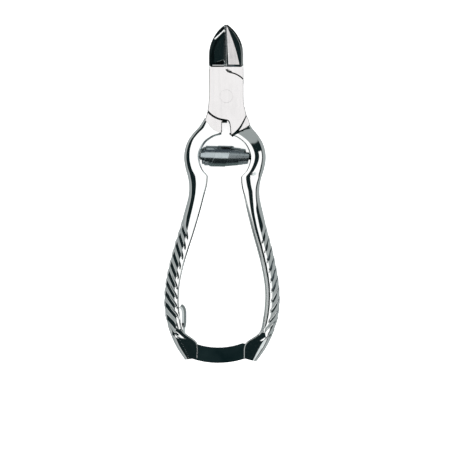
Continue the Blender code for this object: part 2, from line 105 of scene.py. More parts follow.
def add_piece(name, mesh, body, nodes, materials, smooth_angle=30):
    """Links a mesh given in millimetres as a piece that rides a body and stands for CAD nodes."""
    mesh.transform(Matrix.Scale(MM, 4))
    mesh.name = name
    piece = bpy.data.objects.new(name, mesh)
    bpy.context.scene.collection.objects.link(piece)
    for material in materials:
        mesh.materials.append(material)
    mesh.shade_smooth()
    mesh.set_sharp_from_angle(angle=math.radians(smooth_angle))
    if body:
        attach(piece, body)
    if nodes:
        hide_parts(*nodes)
    return piece


def skin(rings):
    """A closed mesh over rings of equally many points."""
    build = bmesh.new()
    rows = [[build.verts.new(point) for point in ring] for ring in rings]
    count = len(rows[0])
    for row, following in zip(rows, rows[1:]):
        for i in range(count):
            j = (i + 1) % count
            build.faces.new((row[i], row[j], following[j], following[i]))
    build.faces.new(reversed(rows[0]))
    build.faces.new(rows[-1])
    bmesh.ops.recalc_face_normals(build, faces=build.faces)
    mesh = bpy.data.meshes.new("skin")
    build.to_mesh(mesh)
    build.free()
    return mesh


def cut(mesh, *cutters):
    """The mesh with the cutters' shapes taken away."""
    base = bpy.data.objects.new("base", mesh)
    bpy.context.scene.collection.objects.link(base)
    helpers = []
    for cutter in cutters:
        helper = bpy.data.objects.new("cutter", cutter)
        bpy.context.scene.collection.objects.link(helper)
        helpers.append(helper)
        step = base.modifiers.new("step", "BOOLEAN")
        step.operation = "DIFFERENCE"
        step.object = helper
        step.solver = "EXACT"
    graph = bpy.context.evaluated_depsgraph_get()
    result = bpy.data.meshes.new_from_object(base.evaluated_get(graph))
    for old in [base, *helpers]:
        bpy.data.objects.remove(old, do_unlink=True)
    return result


def circle(centre, radius, segments=64):
    """A loop of points round a centre."""
    turn = 2 * math.pi / segments
    return [
        (centre[0] + radius * math.cos(i * turn), centre[1] + radius * math.sin(i * turn))
        for i in range(segments)
    ]


def arc(centre, radius, start, end, steps):
    """Points along an arc between two angles in degrees, both ends included."""
    angles = [math.radians(start + (end - start) * i / steps) for i in range(steps + 1)]
    return [(centre[0] + radius * math.cos(a), centre[1] + radius * math.sin(a)) for a in angles]


def area(outline):
    """Signed area of a loop, positive where it runs anticlockwise."""
    return sum(
        a[0] * b[1] - b[0] * a[1] for a, b in zip(outline, [*outline[1:], outline[0]])
    ) / 2


LEAST_MITER = 0.35


def inset(outline, distance):
    """The loop moved inwards by a distance."""
    count = len(outline)
    turn = 1 if area(outline) > 0 else -1
    result = []
    for i in range(count):
        before, here, after = (Vector(outline[k]) for k in (i - 1, i, (i + 1) % count))
        first, second = (here - before).normalized(), (after - here).normalized()
        n1, n2 = Vector((-first.y, first.x)) * turn, Vector((-second.y, second.x)) * turn
        miter = (n1 + n2) / max(1 + n1.dot(n2), LEAST_MITER)
        result.append(tuple(here + miter * distance))
    return result


def rounded_prism(outline, low, high, edge, steps=3):
    """The outline extruded along Z, with its edges rounded over `edge`."""
    lower, upper = [], []
    for i in range(steps + 1):
        a = math.pi / 2 * i / steps
        shifted = inset(outline, edge * (1 - math.sin(a)))
        rise = edge * (1 - math.cos(a))
        lower.append([(x, y, low + rise) for x, y in shifted])
        upper.append([(x, y, high - rise) for x, y in shifted])
    return skin([*lower, *reversed(upper)])


def prism(outline, low, high):
    """The outline extruded along Z, with sharp edges."""
    return skin([[(x, y, z) for x, y in outline] for z in (low, high)])


def catmull(before, start, end, after, t):
    """A Catmull-Rom curve's point between `start` and `end`."""
    return 0.5 * (
        2 * start
        + (end - before) * t
        + (2 * before - 5 * start + 4 * end - after) * t**2
        + (3 * start - before - 3 * end + after) * t**3
    )


def curve_through(points, position):
    """The point at a position, counted in points, on the smooth curve through `points`."""
    last = len(points) - 1
    start = min(int(position), last - 1)
    before = points[start - 1] if start > 0 else 2 * points[0] - points[1]
    after = points[start + 2] if start + 2 <= last else 2 * points[last] - points[last - 1]
    return catmull(before, points[start], points[start + 1], after, position - start)


def smooth_row(points, steps=4):
    """A finer row of points on the smooth curve through `points`."""
    points = [Vector(p) for p in points]
    last = len(points) - 1
    return [tuple(curve_through(points, i / steps)) for i in range(last * steps + 1)]


def lean(x, y):
    """Turns a point of the handles, drawn upright, about the joint to where they lie."""
    cos, sin = math.cos(HANDLE_LEAN), math.sin(HANDLE_LEAN)
    return x * cos + y * sin, y * cos - x * sin


def lean_all(points, side):
    """Points of the right handle (side 1) or, mirrored, the left one (side -1), leaned."""
    return [lean(side * x, y) for x, y in points]


def ramp(value, start, end):
    """0 before `start`, 1 after `end`, and smooth between them."""
    t = min(max((value - start) / (end - start), 0.0), 1.0)
    return t * t * (3 - 2 * t)


def keyed(table, position):
    """Linear interpolation in a table of (position, value...)."""
    for before, after in zip(table, table[1:]):
        if position <= after[0]:
            t = min(max((position - before[0]) / (after[0] - before[0]), 0.0), 1.0)
            return [a + (b - a) * t for a, b in zip(before[1:], after[1:])]
    return list(table[-1][1:])


# ---------------------------------------------------------------- materials

def new_material(name):
    """A node material, its tree and its shader."""
    material = bpy.data.materials.new(name)
    material.use_nodes = True
    tree = material.node_tree
    shader = tree.nodes["Principled BSDF"]
    return material, tree, shader


def texture_space(tree, scale):
    """Object coordinates stretched by a scale."""
    coords = tree.nodes.new("ShaderNodeTexCoord")
    mapping = tree.nodes.new("ShaderNodeMapping")
    mapping.inputs["Scale"].default_value = scale
    tree.links.new(coords.outputs["Object"], mapping.inputs["Vector"])
    return mapping.outputs["Vector"]


def noise(tree, vector, scale, detail, rough=0.6):
    """A fractal noise value."""
    node = tree.nodes.new("ShaderNodeTexNoise")
    node.inputs["Scale"].default_value = scale
    node.inputs["Detail"].default_value = detail
    node.inputs["Roughness"].default_value = rough
    tree.links.new(vector, node.inputs["Vector"])
    return node.outputs["Fac"]


NOISE_RANGE = (0.3, 0.7)


def spread(tree, value, low, high):
    """A noise value spread over a range."""
    node = tree.nodes.new("ShaderNodeMapRange")
    node.inputs["From Min"].default_value = NOISE_RANGE[0]
    node.inputs["From Max"].default_value = NOISE_RANGE[1]
    node.inputs["To Min"].default_value = low
    node.inputs["To Max"].default_value = high
    tree.links.new(value, node.inputs["Value"])
    return node.outputs["Result"]


def blend_colours(tree, value, dark, light):
    """A colour between two, by a value from 0 to 1."""
    node = tree.nodes.new("ShaderNodeMix")
    node.data_type = "RGBA"
    node.inputs["A"].default_value = (*dark, 1)
    node.inputs["B"].default_value = (*light, 1)
    tree.links.new(value, node.inputs["Factor"])
    return node.outputs["Result"]


CLOUD_SCALE = 90.0
GRAIN_HEIGHT_M = 0.00002


def metal(name, dark, light, roughness, stretch=(1, 1, 1), grain=900.0, bump=0.02):
    """Metal with a cloudy tone, and a directional polishing grain in roughness and relief."""
    material, tree, shader = new_material(name)
    plain = texture_space(tree, (1, 1, 1))
    drawn = texture_space(tree, stretch)
    clouds = noise(tree, plain, CLOUD_SCALE, 3.0)
    lines = noise(tree, drawn, grain, 5.0, 0.7)
    colour = blend_colours(tree, spread(tree, clouds, 0.0, 1.0), dark, light)
    tree.links.new(colour, shader.inputs["Base Color"])
    rough = spread(tree, lines, roughness[0], roughness[1])
    tree.links.new(rough, shader.inputs["Roughness"])
    relief = tree.nodes.new("ShaderNodeBump")
    relief.inputs["Strength"].default_value = bump
    relief.inputs["Distance"].default_value = GRAIN_HEIGHT_M
    tree.links.new(lines, relief.inputs["Height"])
    tree.links.new(relief.outputs["Normal"], shader.inputs["Normal"])
    shader.inputs["Metallic"].default_value = 1.0
    return material


# Each has its darkest and lightest tone, its range of roughness, and the way its grain is drawn.
polished = metal(
    "polished_nickel", (0.84, 0.86, 0.86), (0.90, 0.91, 0.90), (0.04, 0.08), (1, 0.12, 1)
)
satin = metal(
    "satin_nickel", (0.74, 0.725, 0.725), (0.79, 0.775, 0.775), (0.18, 0.26), (1, 0.06, 1), 700, 0.15
)
ground = metal(
    "ground_edge_steel", (0.62, 0.60, 0.60), (0.70, 0.68, 0.68), (0.22, 0.32), (1, 0.05, 1), 1200, 0.2
)
# A near-black metal for the catch bar.
near_black_catch = metal(
    "dark_catch_steel", (0.003, 0.009, 0.010), (0.010, 0.020, 0.021), (0.12, 0.22), (0.1, 1, 1)
)
tempered = metal(
    "tempered_spring_steel", (0.36, 0.41, 0.43), (0.50, 0.55, 0.57), (0.16, 0.26), (1, 0.1, 0.1), 800, 0.1
)
# Near-black metal that paints shade and dark reflection onto the joint's seams, the left hollow's walls, the
# shelf's sides, the step and hollow by the neck, the flare's edge and the spring's pegs.
painted_shade_and_reflection = metal(
    "painted_shade_and_reflection_steel", (0.004, 0.010, 0.011), (0.012, 0.022, 0.023), (0.22, 0.36), (1, 1, 1), 1400, 0.1
)
leaf_metal = metal(
    "leaf_steel", (0.36, 0.40, 0.40), (0.48, 0.51, 0.51), (0.08, 0.16), (1, 0.1, 1), 900, 0.08
)
pin_metal = metal(
    "pin_steel", (0.74, 0.74, 0.74), (0.82, 0.82, 0.82), (0.12, 0.22), (1, 1, 1), 1200, 0.05
)


# ---------------------------------------------------------------- handles

def bay_point(degrees):
    """A point of the spring bay's oval wall, by its angle from the top."""
    a = math.radians(degrees)
    return Vector((BAY_HALF_WIDTH * math.sin(a), BAY_CENTRE_Y + BAY_HALF_HEIGHT * math.cos(a)))


BAY = [bay_point(degrees) for degrees in BAY_ANGLES]
NECK = [Vector((NECK_HALF_GAP, -11.0)), BAY[0]]
GRIP = [BAY[-1], *[Vector(p) for p in GRIP_INNER]]
OUTER = [Vector(p) for p in HANDLE_OUTER]


def handle_station(position):
    """Outer and inner point of the right handle at a position counted in outer points."""
    outer = curve_through(OUTER, position)
    if position <= NECK_END_STATION:
        return outer, curve_through(NECK, position)
    if position <= CUSP_STATION:
        return outer, curve_through(BAY, position - NECK_END_STATION)
    return outer, curve_through(GRIP, position - CUSP_STATION)


def travel_table(fine=40):
    """Pairs of the distance down the handle's middle and the position there."""
    table = [(0.0, 0.0)]
    centre = sum(handle_station(0.0), Vector((0.0, 0.0))) / 2
    travelled = 0.0
    for i in range(1, (len(OUTER) - 1) * fine + 1):
        new_centre = sum(handle_station(i / fine), Vector((0.0, 0.0))) / 2
        travelled += (new_centre - centre).length
        centre = new_centre
        table.append((travelled, i / fine))
    return table


TRAVEL = travel_table()
LENGTH = TRAVEL[-1][0]


def position_at(distance):
    """The position at a distance down the handle."""
    distance = min(max(distance, 0.0), LENGTH)
    low, high = 0, len(TRAVEL) - 1
    while high - low > 1:
        middle = (low + high) // 2
        if TRAVEL[middle][0] <= distance:
            low = middle
        else:
            high = middle
    a, b = TRAVEL[low], TRAVEL[high]
    return a[1] + (b[1] - a[1]) * (distance - a[0]) / (b[0] - a[0])


def distance_at(position):
    """The distance down the handle to a position."""
    for (s0, p0), (s1, p1) in zip(TRAVEL, TRAVEL[1:]):
        if p1 >= position:
            return s0 + (s1 - s0) * (position - p0) / (p1 - p0)
    return LENGTH


def bezier(p0, p1, p2, p3, t):
    """A cubic Bezier curve's point."""
    u = 1 - t
    return p0 * u**3 + p1 * 3 * u * u * t + p2 * 3 * u * t * t + p3 * t**3


EDGE_STEPS = 4
FLAT_STEPS = 4
BAND_STEPS = 3
FLANK_STEPS = 4
ROUND_STEPS = 16
SIDE_EASE = 0.12
BAND_FALL = 0.185
FLANK_FALL = 0.37
CREST = 4 + EDGE_STEPS + FLAT_STEPS + BAND_STEPS + FLANK_STEPS


def half_profile(width, half, chamfer, slope, corner, runs, crest_drop, tilt, pull):
    """Top half of a section from the inner mid-line to the outer one, as (across, height).

    The inner edge is a chamfer of the given width and slope, its upper corner eased over
    `corner`. Then come the flat, a gently tilted band and a steeper flank, of the widths in
    `runs`. The outer side leaves their end, the crest, at `tilt` degrees and reaches the
    mid-line upright."""
    flat, band, flank = runs
    start = Vector((0.0, half - chamfer * slope - crest_drop))
    knee = Vector((chamfer, half - crest_drop))
    brink = Vector((chamfer + flat, half))
    ledge = brink + Vector((band, -band * BAND_FALL))
    crest = ledge + Vector((flank, -flank * FLANK_FALL))
    before = knee.lerp(start, min(corner / max((knee - start).length, 1e-6), 0.9))
    after = knee.lerp(brink, min(corner / max((brink - knee).length, 1e-6), 0.9))
    points = [
        Vector((0.0, 0.0)),
        Vector((0.0, start.y * 0.5)),
        Vector((0.0, start.y - SIDE_EASE)),
        start.lerp(before, SIDE_EASE),
        before,
    ]
    for i in range(1, EDGE_STEPS + 1):
        t = i / EDGE_STEPS
        points.append(before * (1 - t) ** 2 + knee * 2 * t * (1 - t) + after * t * t)
    for end, steps in ((brink, FLAT_STEPS), (ledge, BAND_STEPS), (crest, FLANK_STEPS)):
        begin = points[-1]
        for i in range(1, steps + 1):
            points.append(begin.lerp(end, i / steps))
    a = math.radians(tilt)
    reach = width - crest.x
    p1 = crest + Vector((math.cos(a), -math.sin(a))) * reach * pull[0]
    p3 = Vector((width, 0.0))
    p2 = p3 + Vector((0.0, half * pull[1]))
    for i in range(1, ROUND_STEPS + 1):
        points.append(bezier(crest, p1, p2, p3, i / ROUND_STEPS))
    return points


# (station, half depth, chamfer, slope, corner, crest share, drop of the inner side, crest tilt,
#  pull along the crest, pull up the outer side)
LEFT_SECTIONS = (
    (0.0, 4.49, 0.30, 1.08, 0.02, 0.80, 0.0, 12, 0.80, 0.75),
    (0.9, 4.49, 0.95, 1.08, 0.02, 0.80, 0.0, 12, 0.80, 0.75),
    (2.6, 4.46, 0.95, 1.08, 0.02, 0.76, 0.0, 12, 0.80, 0.75),
    (3.6, 4.34, 0.85, 1.08, 0.02, 0.69, 0.0, 12, 0.80, 0.75),
    (4.6, 4.30, 0.70, 1.08, 0.02, 0.64, 0.0, 12, 0.80, 0.75),
    (6.0, 4.30, 0.52, 1.08, 0.02, 0.64, 0.0, 12, 0.80, 0.75),
    (8.5, 4.22, 0.50, 1.08, 0.02, 0.60, 0.0, 12, 0.75, 0.70),
    (10.4, 4.30, 0.48, 1.08, 0.02, 0.52, 0.0, 16, 0.60, 0.60),
    (11.6, 4.42, 0.46, 1.08, 0.02, 0.40, 0.0, 46, 0.30, 0.30),
    (14.7, 4.48, 0.46, 1.08, 0.02, 0.28, 0.0, 47, 0.30, 0.30),
    (16.3, 4.45, 0.44, 1.0, 0.02, 0.24, 0.0, 47, 0.30, 0.30),
    (17.2, 4.25, 0.30, 1.15, 0.02, 0.60, 0.60, 24, 0.60, 0.70),
    (18.0, 4.10, 0.30, 1.15, 0.02, 0.66, 1.0, 24, 0.60, 0.70),
    (19.0, 3.75, 0.30, 1.15, 0.02, 0.64, 0.55, 24, 0.60, 0.70),
)
# (station, half depth, chamfer, slope, corner, flat, band, flank, least crest share,
#  drop of the inner side, crest tilt, pull along the crest, pull up the outer side)
RIGHT_SECTIONS = (
    (0.0, 4.40, 0.35, 0.6, 0.02, 2.10, 1.70, 0.02, 0.0, 0.0, 17, 0.40, 0.45),
    (4.0, 4.34, 0.32, 0.6, 0.02, 1.65, 1.90, 0.02, 0.0, 0.0, 17, 0.40, 0.45),
    (6.0, 4.30, 0.32, 0.6, 0.02, 1.40, 1.90, 0.02, 0.0, 0.0, 17, 0.40, 0.45),
    (8.5, 4.22, 0.45, 0.7, 0.02, 2.00, 1.85, 0.02, 0.0, 0.0, 17, 0.40, 0.45),
    (9.4, 4.25, 0.75, 0.8, 0.02, 1.10, 1.60, 0.40, 0.0, 0.0, 27, 0.36, 0.40),
    (10.1, 4.30, 1.05, 0.9, 0.02, 0.40, 1.35, 0.85, 0.0, 0.0, 50, 0.30, 0.30),
    (10.8, 4.36, 1.30, 0.9, 0.02, 0.05, 1.15, 0.90, 0.0, 0.0, 50, 0.30, 0.30),
    (11.8, 4.42, 1.45, 0.9, 0.02, 0.05, 0.95, 0.80, 0.0, 0.0, 51, 0.30, 0.30),
    (14.7, 4.48, 1.25, 0.9, 0.02, 0.05, 0.72, 0.80, 0.0, 0.0, 51, 0.30, 0.30),
    (16.3, 4.45, 1.20, 0.9, 0.02, 0.05, 0.70, 0.70, 0.0, 0.0, 51, 0.30, 0.30),
    (17.2, 4.25, 0.50, 0.9, 0.05, 0.05, 0.05, 0.05, 0.62, 1.2, 16, 0.55, 0.60),
    (18.0, 4.10, 0.35, 0.9, 0.05, 0.05, 0.05, 0.05, 0.70, 1.9, 16, 0.55, 0.60),
    (19.0, 3.75, 0.30, 0.9, 0.05, 0.05, 0.05, 0.05, 0.70, 1.7, 16, 0.55, 0.60),
)
LEAST_RUN = 0.02
MOST_TOP_SHARE = 0.8


def section_at(side, position):
    """Inner point, direction across and top half of the section at a position."""
    outer, inner = handle_station(position)
    across = outer - inner
    width = across.length
    if side < 0:
        half, chamfer, slope, corner, share, drop, tilt, *pull = keyed(LEFT_SECTIONS, position)
        runs = (share * width - chamfer - 2 * LEAST_RUN, LEAST_RUN, LEAST_RUN)
    else:
        half, chamfer, slope, corner, *runs, share, drop, tilt, pull_a, pull_b = keyed(
            RIGHT_SECTIONS, position
        )
        pull = (pull_a, pull_b)
        runs[0] += max(share * width - chamfer - sum(runs), 0.0)
        room = min(1.0, MOST_TOP_SHARE * width / (chamfer + sum(runs)))
        runs = [run * room for run in runs]
        chamfer *= room
    profile = half_profile(width, half, chamfer, slope, corner, runs, drop, tilt, pull)
    return inner, across / width, profile


# (share of the pitch, share of the depth outside the crest, the same inside it) down a groove
GROOVE_SHAPES = {
    -1: (
        (0.0, 0.0, 0.0), (0.1, 0.03, 0.03), (0.2, 0.15, 0.15), (0.32, 0.45, 0.4), (0.44, 0.8, 0.7),
        (0.54, 1.0, 0.95), (0.62, 1.0, 1.1), (0.66, 0.9, 0.35), (0.7, 0.78, 0.0), (0.85, 0.38, 0.0),
    ),
    1: (
        (0.0, 0.0, 0.0), (0.14, 0.0, 0.0), (0.3, 0.04, 0.04), (0.45, 0.15, 0.15), (0.6, 0.32, 0.32),
        (0.78, 0.5, 0.5), (0.9, 0.62, 0.62), (0.955, 0.55, 0.3),
    ),
}
GROOVE_START = distance_at(11.0) + 0.2
GROOVE_END = GROOVE_START + GROOVE_COUNT * GROOVE_PITCH
GROOVE_REACH_INWARDS = {-1: 1.25, 1: 0.7}
FIRST_GROOVE_SHARE = 0.55
GROOVE_GROWTH = 0.25
EDGE_GROOVE_SHARE = 0.45
EDGE_GROOVE_START = 2.5
SHEAR_START = (GROOVE_START - 14, GROOVE_START + 3)
SHEAR_END = (GROOVE_END - 2, GROOVE_END + 9)
SHEAR_LIMIT_INWARDS = -1.6
SMOOTH_STEP = 0.6
FORK_STEP = 0.45


def groove_rows(side):
    """(distance down the handle, groove depth outside the crest, the same inside) of every row."""
    rows = []
    s = 0.0
    while s < GROOVE_START - SMOOTH_STEP * 0.6:
        rows.append((s, 0.0, 0.0))
        s += SMOOTH_STEP
    for n in range(GROOVE_COUNT):
        grown = GROOVE_DEPTH * min(1.0, FIRST_GROOVE_SHARE + GROOVE_GROWTH * n)
        for fraction, outside, inside in GROOVE_SHAPES[side]:
            rows.append((GROOVE_START + (n + fraction) * GROOVE_PITCH, outside * grown, inside * grown))
    s = GROOVE_END
    while s < LENGTH:
        rows.append((s, 0.0, 0.0))
        s += FORK_STEP
    rows.append((LENGTH, 0.0, 0.0))
    return rows


def lengths_from_crest(profile):
    """Each point's length along the profile from the crest, negative on the inner side."""
    lengths = [0.0] * len(profile)
    for j in range(CREST + 1, len(profile)):
        lengths[j] = lengths[j - 1] + (profile[j] - profile[j - 1]).length
    for j in range(CREST - 1, -1, -1):
        lengths[j] = lengths[j + 1] - (profile[j + 1] - profile[j]).length
    return lengths


def profile_normal(profile, j):
    """The outward normal at a profile's point, straight up on the crest's inner side."""
    if j <= CREST:
        return Vector((0.0, 1.0))
    tangent = profile[min(j + 1, len(profile) - 1)] - profile[j - 1]
    normal = Vector((-tangent.y, tangent.x)).normalized()
    from_middle = profile[j] - Vector((profile[CREST].x * 0.5, 0.0))
    return -normal if normal.dot(from_middle) < 0 else normal


def handle_mesh(side):
    """A handle with its sheared grip grooves, its back a mirror image of its front."""
    rings = []
    for s, outside, inside in groove_rows(side):
        shear = GROOVE_SHEAR * ramp(s, *SHEAR_START) * (1 - ramp(s, *SHEAR_END))
        _, _, plain = section_at(side, position_at(s))
        lengths = lengths_from_crest(plain)
        half_ring = []
        for j, length in enumerate(lengths):
            v = max(length, SHEAR_LIMIT_INWARDS)
            inner, across, profile = section_at(side, position_at(s - shear * v))
            here = profile[j]
            if outside:
                depth = outside if v >= 0 else inside * max(0.0, 1 + v / GROOVE_REACH_INWARDS[side])
                towards_edge = ramp(v, EDGE_GROOVE_START, lengths[-1])
                depth *= 1 - (1 - EDGE_GROOVE_SHARE) * towards_edge
                here = here - profile_normal(profile, j) * depth
            x, y = inner + across * here.x
            half_ring.append((*lean(side * x, y), here.y))
        ring = [(x, y, MID_Z + z) for x, y, z in half_ring]
        ring += [(x, y, MID_Z - z) for x, y, z in reversed(half_ring[1:-1])]
        rings.append(ring)
    return skin(rings)


# ---------------------------------------------------------------- jaws

JAW_SINK = 0.005
TIP_FRONT_FALL = 2.4
TIP_BACK_RISE = 2.0
JAW_RIM = 0.16
POCKET_CORNER = 1.2
EDGE_LAND = 0.45
EDGE_LAND_FALL = 0.1
EDGE_BEVEL = 0.95
EDGE_BEVEL_RISE = 1.1
LEDGE_START = 0.62
LEDGE_END = 0.95
LEDGE_REACH_X = 5.6
LEDGE_FALL = 0.2
LEDGE_FOOT_FALL = 0.8
HOLLOW_Z = 6.3
HOLLOW_RISE_OUTWARDS = 0.30
HOLLOW_FALL_TO_TIP = 0.13
FACET_CORNER = Vector((4.78, 24.2))
FACET_Z = 6.6
FACET_WIDTH = 0.45
FACET_LENGTH = 5.4
FACET_START_Y = 21.0
FACET_FALL_ALONG = 0.24
FACET_FALL_ACROSS = 0.5
FACET_FOOT_FALL = 0.6
GROUND_START_Y = 13.0
GROUND_LENGTH = 15.0
GROUND_DEPTH = 0.52
GROUND_BOW = 0.45
GROUND_LEAST_EDGE = 0.7
FLANK_SLOPE = 0.36
BEVEL_SLOPE = 0.22


def jaw_edge_x(y):
    """Distance of a jaw's outer edge from the slit: straight, then an arc to the tip."""
    if y <= JAW_ARCH_Y:
        return HEAD_HALF_WIDTH
    rise = min((y - JAW_ARCH_Y) / JAW_ARCH_RADIUS, 0.999)
    return HEAD_HALF_WIDTH - JAW_ARCH_RADIUS + JAW_ARCH_RADIUS * math.sqrt(1 - rise * rise)


def nose_share(y):
    """0 at the jaws' root, 1 at their tip."""
    return max(y - POCKET_Y, 0.0) / (JAW_TIP_Y - POCKET_Y)


def nose_top(y):
    """Height of the jaws' front, which dips under the joint plate where they overlap."""
    return FACE_Z - JAW_SINK - TIP_FRONT_FALL * nose_share(y)


def nose_back(y):
    """Height of the jaws' back."""
    return TIP_BACK_RISE * nose_share(y)


def in_pocket(x, y):
    """Distance from the hollow's rounded outline to a point inside it."""
    from_edge = jaw_edge_x(y) - JAW_RIM - x
    from_root = y - POCKET_Y
    if from_edge < POCKET_CORNER and from_root < POCKET_CORNER:
        return POCKET_CORNER - math.hypot(POCKET_CORNER - from_edge, POCKET_CORNER - from_root)
    return min(from_edge, from_root)


def hollow_floor(x, y):
    """Height of the left hollow's floor, which falls towards the slit and the tip."""
    return HOLLOW_Z + HOLLOW_RISE_OUTWARDS * x - HOLLOW_FALL_TO_TIP * (y - POCKET_Y)


def from_facet(x, y):
    """Distances across and along the hollow's bright facet, from its lower outer corner."""
    across = FACET_CORNER.x + FACET_CORNER.y - x - y
    along = y - x - FACET_CORNER.y + FACET_CORNER.x
    return across / math.sqrt(2), along / math.sqrt(2)


def facet_height(x, y):
    """Height of the bright facet across the hollow's upper outer corner."""
    across, along = from_facet(x, y)
    if across <= 0 or y <= FACET_START_Y:
        return -math.inf
    foot = max(across - FACET_WIDTH, 0.0)
    return FACET_Z - FACET_FALL_ALONG * along - FACET_FALL_ACROSS * across - FACET_FOOT_FALL * foot


def ledge_height(y):
    """Height of the narrow ledge along the hollow's root."""
    up = y - POCKET_Y
    if up <= LEDGE_START:
        return -math.inf
    foot = max(up - LEDGE_END, 0.0)
    return FACE_Z - LEDGE_START - LEDGE_FALL * (up - LEDGE_START) - LEDGE_FOOT_FALL * foot


def left_jaw_height(x, y):
    """Height of the left jaw's hollow, x measured from the slit outwards."""
    top = nose_top(y)
    deep = in_pocket(x, y)
    if deep <= 0:
        return top
    wall = top - deep
    floor = hollow_floor(x, y)
    if x > EDGE_BEVEL:
        return min(max(floor, wall, facet_height(x, y), ledge_height(y)), top)
    floor += EDGE_BEVEL_RISE * (EDGE_BEVEL - max(x, EDGE_LAND))
    floor -= EDGE_LAND_FALL * max(EDGE_LAND - x, 0.0)
    return min(max(floor, wall), top)


def ground_edges(y):
    """Across: where the right jaw's dark inner bevel ends, and where its ground facet ends."""
    along = min(max((y - GROUND_START_Y) / GROUND_LENGTH, 0.0), 1.1)
    bow = GROUND_BOW * math.sin(math.pi * min(along, 1))
    return 1.1 - 0.7 * along, max(5.5 - 4.6 * along + bow, GROUND_LEAST_EDGE)


def right_jaw_height(x, y):
    """Height of the right jaw's shallow hollow: bevel, ground facet and outer flank."""
    top = nose_top(y)
    if y <= POCKET_Y:
        return top
    near, split = ground_edges(y)
    fall = GROUND_DEPTH + FLANK_SLOPE * max(jaw_edge_x(y) - JAW_RIM - max(x, split), 0.0)
    if x < near:
        fall += BEVEL_SLOPE * (near - x)
    return top - min(fall, max(in_pocket(x, y), 0.0))


# Columns across a jaw, as distances from the slit and from the outer edge.
SLIT_COLUMNS = (0.0, 0.14, 0.28, 0.42, 0.56, 0.74, 0.92)
EDGE_COLUMNS = (
    2.0, 1.75, 1.5, 1.3, 1.1, 0.95, 0.8, 0.68, 0.57, 0.48, 0.4, 0.34, 0.28, 0.2, 0.1, 0.0,
)
MIDDLE_COLUMNS = 24
ROOT_ROW_STEP = 0.1
ROW_STEP = 0.2


def jaw_rows():
    """The stations up a jaw, closer together over the walls at its root and at its tip."""
    rows = [JAW_ROOT_Y - 0.3, JAW_ROOT_Y, (JAW_ROOT_Y + POCKET_Y) / 2, POCKET_Y]
    while rows[-1] < JAW_TIP_Y - 0.8:
        rows.append(rows[-1] + (ROOT_ROW_STEP if rows[-1] < POCKET_Y + 1.4 else ROW_STEP))
    return rows + [JAW_TIP_Y - 0.45, JAW_TIP_Y - 0.2, JAW_TIP_Y - 0.06, JAW_TIP_Y]


def jaw_columns(edge):
    """The places across a jaw whose outer edge is at `edge`, drawn together near the tip."""
    room = edge - SLIT
    near = [SLIT + min(o, room * 0.4 * o / SLIT_COLUMNS[-1]) for o in SLIT_COLUMNS]
    far = [edge - min(o, room * 0.5 * o / EDGE_COLUMNS[0]) for o in EDGE_COLUMNS]
    gap = far[0] - near[-1]
    middle = [near[-1] + gap * i / MIDDLE_COLUMNS for i in range(1, MIDDLE_COLUMNS)]
    return [*near, *middle, *far]


def jaw_mesh(side, height):
    """A jaw as rows of stations across, with its hollow as the upper surface."""
    rings = []
    for y in jaw_rows():
        edge = max(jaw_edge_x(y), SLIT + 0.3)
        columns = jaw_columns(edge)
        top, back = nose_top(y), nose_back(y)
        ring = [(x, height(x, y)) for x in columns[:-2]]
        ring += [(columns[-2], top - 0.1), (columns[-1], top - 0.26)]
        ring += [(edge, back + 0.22), (edge - 0.07, back + 0.07), (edge - 0.22, back)]
        ring += [(SLIT + 0.05, back), (SLIT, back + 0.05)]
        rings.append([(side * x, y, z) for x, z in ring])
    return skin(rings)


# ---------------------------------------------------------------- painted faces

FACING_UP = 0.97
SEAM_RADII = (9.2, 10.8)
SLIT_FOOT = ((-0.9, 9.2), (2.2, 12.6))
NECK_GAP = ((-2.4, -17.0), (2.4, -9.4))


def paint_faces(mesh, index, wanted):
    """Gives a material index to the faces whose centre and normal pass the test, in millimetres."""
    for face in mesh.polygons:
        if wanted(face.center, face.normal):
            face.material_index = index


def in_box(point, box):
    """Whether a point lies in a box seen from the front."""
    (x0, y0), (x1, y1) = box
    return x0 < point.x < x1 and y0 < point.y < y1


def is_painted_dark_pocket_wall(centre, normal):
    """The left hollow's walls, without its facet and the ledge at its root: the faces that get painted dark
    reflection.
    """
    x, y = -centre.x, centre.y
    deep = in_pocket(x, y)
    if deep < 0.03 or x < EDGE_BEVEL or normal.z < 0.1:
        return False
    across, along = from_facet(x, y)
    on_facet = -0.05 < across < FACET_WIDTH + 0.05 and -0.2 < along < FACET_LENGTH
    on_ledge = LEDGE_START - 0.04 < y - POCKET_Y < LEDGE_END + 0.04 and x < LEDGE_REACH_X
    if on_ledge or (on_facet and y > FACET_START_Y + 0.4):
        return False
    return deep < nose_top(y) - hollow_floor(x, y) + 0.8


def is_root_face(centre, normal):
    """The flat at a jaw's root, which carries the joint plate's face on."""
    return centre.y < POCKET_Y and normal.z > 0.9


def is_ground_face(centre, normal):
    """The right jaw's flat facet."""
    near, split = ground_edges(centre.y)
    return near < centre.x < split and centre.y > POCKET_Y + 0.35 and normal.z > 0.9


def is_painted_seam_shade(centre, normal):
    """The faces that get painted shade: the joint's parting lines and the recess floor seen through them, the
    slit's foot, the gap between the necks and the edge of the point over the neck.
    """
    far = math.hypot(centre.x, centre.y)
    if normal.z > FACING_UP:
        return centre.z < 7.0 and far < 10.5
    in_joint = SEAM_RADII[0] < far < SEAM_RADII[1] and (centre.x < -0.3 or centre.y > 0)
    on_point = centre.x > 1.9 and 0.8 * centre.x - 0.6 * centre.y > 10.8
    return in_joint or on_point or in_box(centre, SLIT_FOOT) or in_box(centre, NECK_GAP)


def is_painted_shade_side(centre, normal):
    """Everything but the upper face: on the shelf, the sides that get painted shade."""
    return normal.z < FACING_UP


def is_painted_flare_shade(centre, normal):
    """The edge that the milled radius leaves across the right handle's front, painted dark as shade."""
    in_flare = math.hypot(centre.x, centre.y) < FLARE_RADIUS + 0.02
    return in_flare and centre.z > 7.5 and centre.x > 1.0


# ---------------------------------------------------------------- joint plates

